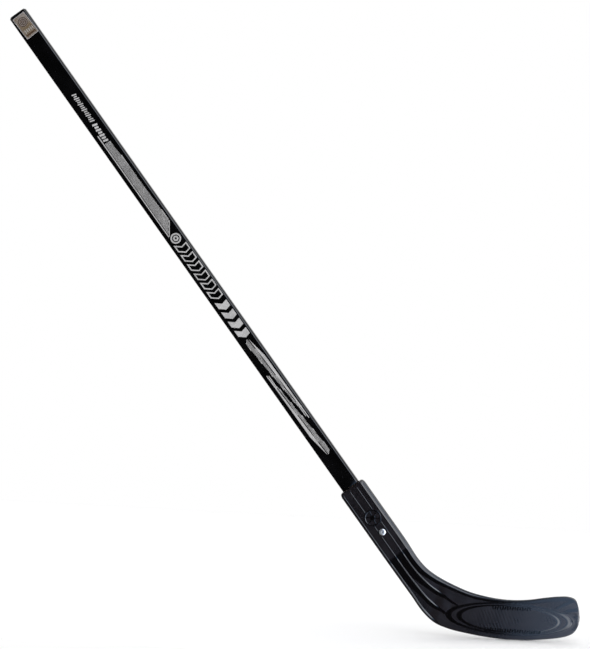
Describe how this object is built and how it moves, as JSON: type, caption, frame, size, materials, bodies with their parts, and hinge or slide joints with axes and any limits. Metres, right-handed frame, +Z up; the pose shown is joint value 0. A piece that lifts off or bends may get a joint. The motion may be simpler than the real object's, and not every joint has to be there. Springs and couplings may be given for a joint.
{
  "type": "ice hockey stick",
  "caption": "Youth hockey stick: straight laminated shaft in gloss black lacquer, socketed and screwed into a black moulded blade whose toe curves back.",
  "frame": {"origin": "centre of the flat patch of the blade's sole, where it rests on the floor", "axes": "+Z up, +X along the blade towards the toe, the printed front faces -Y, and the shaft leans back over -X, 52 degrees above the floor"},
  "size_m": [0.8202, 0.0379, 0.8326],
  "materials": {
    "birch": "bare rotary-cut face veneer",
    "poplar": "bare core veneer",
    "lacquer": "gloss black lacquer with pale screen-printed ornament",
    "abs": "black moulded ABS, fine matte texture with polished ridges and flutes",
    "zinc": "bright zinc-plated steel",
    "foil": "bronze metallised film with a silver border"
  },
  "bodies": {
    "root": {"face_ply_front": "birch", "core_ply_1": "poplar", "core_ply_2": "poplar", "core_ply_3": "poplar", "core_ply_4": "poplar", "core_ply_5": "poplar", "face_ply_back": "birch", "lacquer_coat": "lacquer", "foil_label": "foil", "blade_screw": "zinc", "blade": "abs"}
  },
  "joints": []
}
